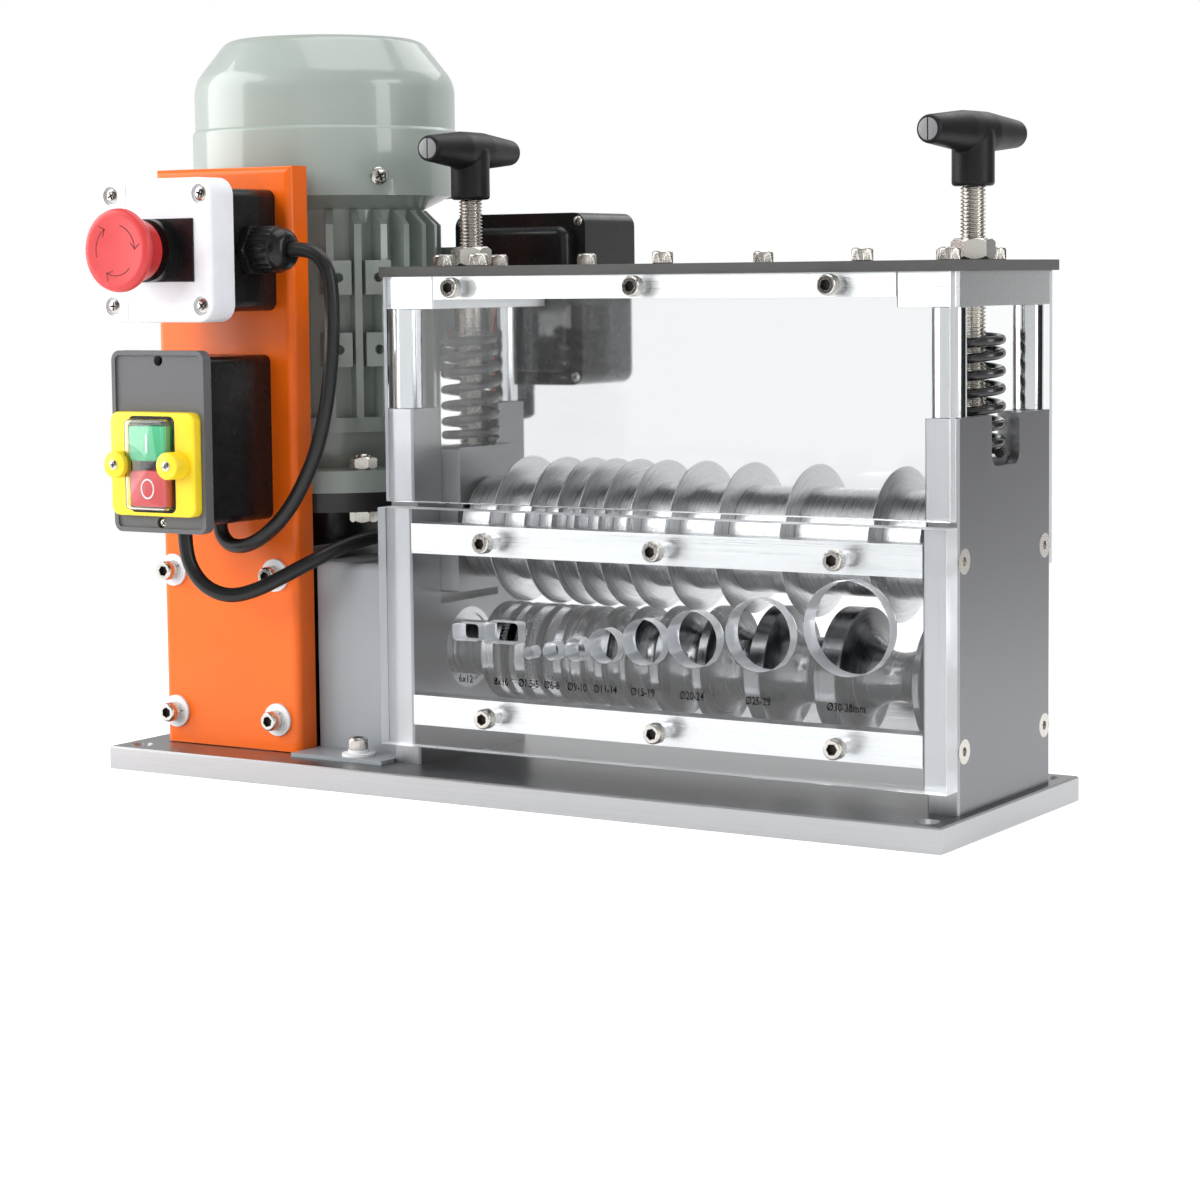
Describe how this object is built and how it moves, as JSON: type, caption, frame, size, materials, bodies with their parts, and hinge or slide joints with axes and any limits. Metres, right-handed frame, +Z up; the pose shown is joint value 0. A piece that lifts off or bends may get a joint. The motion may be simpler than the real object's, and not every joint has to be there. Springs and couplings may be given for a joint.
{
  "type": "electric wire stripping machine",
  "caption": "Bench machine that slits and strips cable between a grooved feed roller and slitting discs, driven by an upright motor and worm gearbox.",
  "frame": {"origin": "middle of the base plate's underside", "axes": "+X to the right along the base plate, +Y to the back, +Z up"},
  "size_m": [0.505, 0.263, 0.386],
  "materials": {
    "ground_steel": "ground, brushed along its length",
    "end_plate_steel": "grey, brushed upright",
    "bright_bar": "bright brushed bar",
    "chrome_rod": "polished",
    "dark_plate": "satin black, bright worn edge",
    "zinc_screw": "zinc plated",
    "bearing_steel": "polished rings",
    "roller_steel": "turned",
    "blade_steel": "ground, sharp edge",
    "spring_steel": "gloss black",
    "wheel_bronze": "cut bronze",
    "clear_acrylic": "clear, polished edges",
    "clear_membrane": "clear and soft",
    "motor_paint": "semi-gloss grey-green",
    "black_paint": "satin black",
    "orange_paint": "gloss orange",
    "grey_paint": "satin grey",
    "black_plastic": "moulded black",
    "grained_plastic": "fine grain, smooth rim",
    "white_plastic": "satin white",
    "red_plastic": "red",
    "green_plastic": "green",
    "yellow_plastic": "yellow",
    "cord_sheath": "black sheath"
  },
  "bodies": {
    "machine_frame": {"base_plate": "ground_steel", "left_end_plate": "end_plate_steel", "right_end_plate": "end_plate_steel", "tie_bars": "bright_bar", "end_plate_screws": "zinc_screw", "guide_rods": "chrome_rod", "head_frame": "bright_bar", "top_plate": "dark_plate", "top_plate_screws": "zinc_screw", "lock_nuts": "zinc_screw", "lower_bearings": "bearing_steel", "guide_panel": "clear_acrylic", "upper_front_guard": "clear_acrylic", "rear_guard": "clear_acrylic", "clear_panel_screws": "zinc_screw", "gearbox_case": "black_paint", "gearbox_side_cover": "black_paint", "gearbox_input_flange": "black_paint", "flange_bolts": "zinc_screw", "motor_flange": "motor_paint", "motor_frame": "motor_paint", "fan_cowl": "motor_paint", "terminal_box": "black_plastic", "terminal_box_lid": "black_plastic", "cord_glands": "black_plastic", "switch_panel": "orange_paint", "coupling_cover": "grey_paint", "washered_screws": "zinc_screw", "stop_base": "black_plastic", "stop_cover": "white_plastic", "stop_legend_and_collar": "black_plastic", "switch_body": "black_plastic", "switch_front_plate": "grained_plastic", "switch_bezel": "yellow_plastic", "switch_membrane": "clear_membrane", "stop_cord": "cord_sheath", "motor_cord": "cord_sheath"},
    "blade_carriage": {"left_bearing_block": "end_plate_steel", "right_bearing_block": "end_plate_steel", "upper_bearings": "bearing_steel", "left_spring": "spring_steel", "right_spring": "spring_steel"},
    "blade_roller": {"blade_shaft": "roller_steel", "slitting_discs": "blade_steel", "blade_spacers": "roller_steel"},
    "left_adjuster": {"left_screw": "zinc_screw", "left_handle": "black_plastic"},
    "right_adjuster": {"right_screw": "zinc_screw", "right_handle": "black_plastic"},
    "feed_roller": {"feed_roller": "roller_steel", "shaft_coupling": "roller_steel", "output_shaft": "roller_steel", "worm_wheel": "wheel_bronze"},
    "motor_rotor": {"motor_rotor": "roller_steel", "cooling_fan": "black_plastic"},
    "stop_plunger": {"stop_stem": "red_plastic"},
    "stop_button": {"stop_mushroom": "red_plastic"},
    "start_key": {"start_key": "green_plastic"},
    "stop_key": {"stop_key": "red_plastic"}
  },
  "joints": [
    {"name": "blade_height", "type": "slide", "parent": "machine_frame", "child": "blade_carriage", "axis": [0, 0, 1], "range_m": [-0.0025, 0.02], "deforming": ["left_spring", "right_spring"]},
    {"name": "blade_spin", "type": "hinge", "parent": "blade_carriage", "child": "blade_roller", "pos_m": [0.08, 0.002, 0.1297], "axis": [1, 0, 0], "continuous": true},
    {"name": "left_screw_turn", "type": "hinge", "parent": "blade_carriage", "child": "left_adjuster", "pos_m": [-0.0605, 0.002, 0.2], "axis": [0, 0, 1], "range_deg": [-520, 4120]},
    {"name": "right_screw_turn", "type": "hinge", "parent": "blade_carriage", "child": "right_adjuster", "pos_m": [0.2207, 0.002, 0.2], "axis": [0, 0, 1], "range_deg": [-520, 4120]},
    {"name": "feed_spin", "type": "hinge", "parent": "machine_frame", "child": "feed_roller", "pos_m": [0, 0.002, 0.067], "axis": [1, 0, 0], "continuous": true},
    {"name": "motor_spin", "type": "hinge", "parent": "machine_frame", "child": "motor_rotor", "pos_m": [-0.183, 0.042, 0.2], "axis": [0, 0, 1], "continuous": true},
    {"name": "stop_press", "type": "slide", "parent": "machine_frame", "child": "stop_plunger", "axis": [0, 1, 0], "range_m": [0, 0.0045], "stiffness_N_per_m": 800},
    {"name": "stop_release_turn", "type": "hinge", "parent": "stop_plunger", "child": "stop_button", "pos_m": [-0.175, -0.13, 0.2724], "axis": [0, 1, 0], "range_deg": [0, 30], "stiffness_Nm_per_rad": 0.05},
    {"name": "start_key_press", "type": "slide", "parent": "machine_frame", "child": "start_key", "axis": [0, 1, 0], "range_m": [0, 0.0025], "stiffness_N_per_m": 500},
    {"name": "stop_key_press", "type": "slide", "parent": "machine_frame", "child": "stop_key", "axis": [0, 1, 0], "range_m": [0, 0.0025], "stiffness_N_per_m": 500}
  ],
  "couplings": [
    {"joint": "left_screw_turn", "follows": "blade_height", "rad_per_m": 3590.4},
    {"joint": "right_screw_turn", "follows": "blade_height", "rad_per_m": 3590.4},
    {"joint": "motor_spin", "follows": "feed_spin", "ratio": 20}
  ]
}
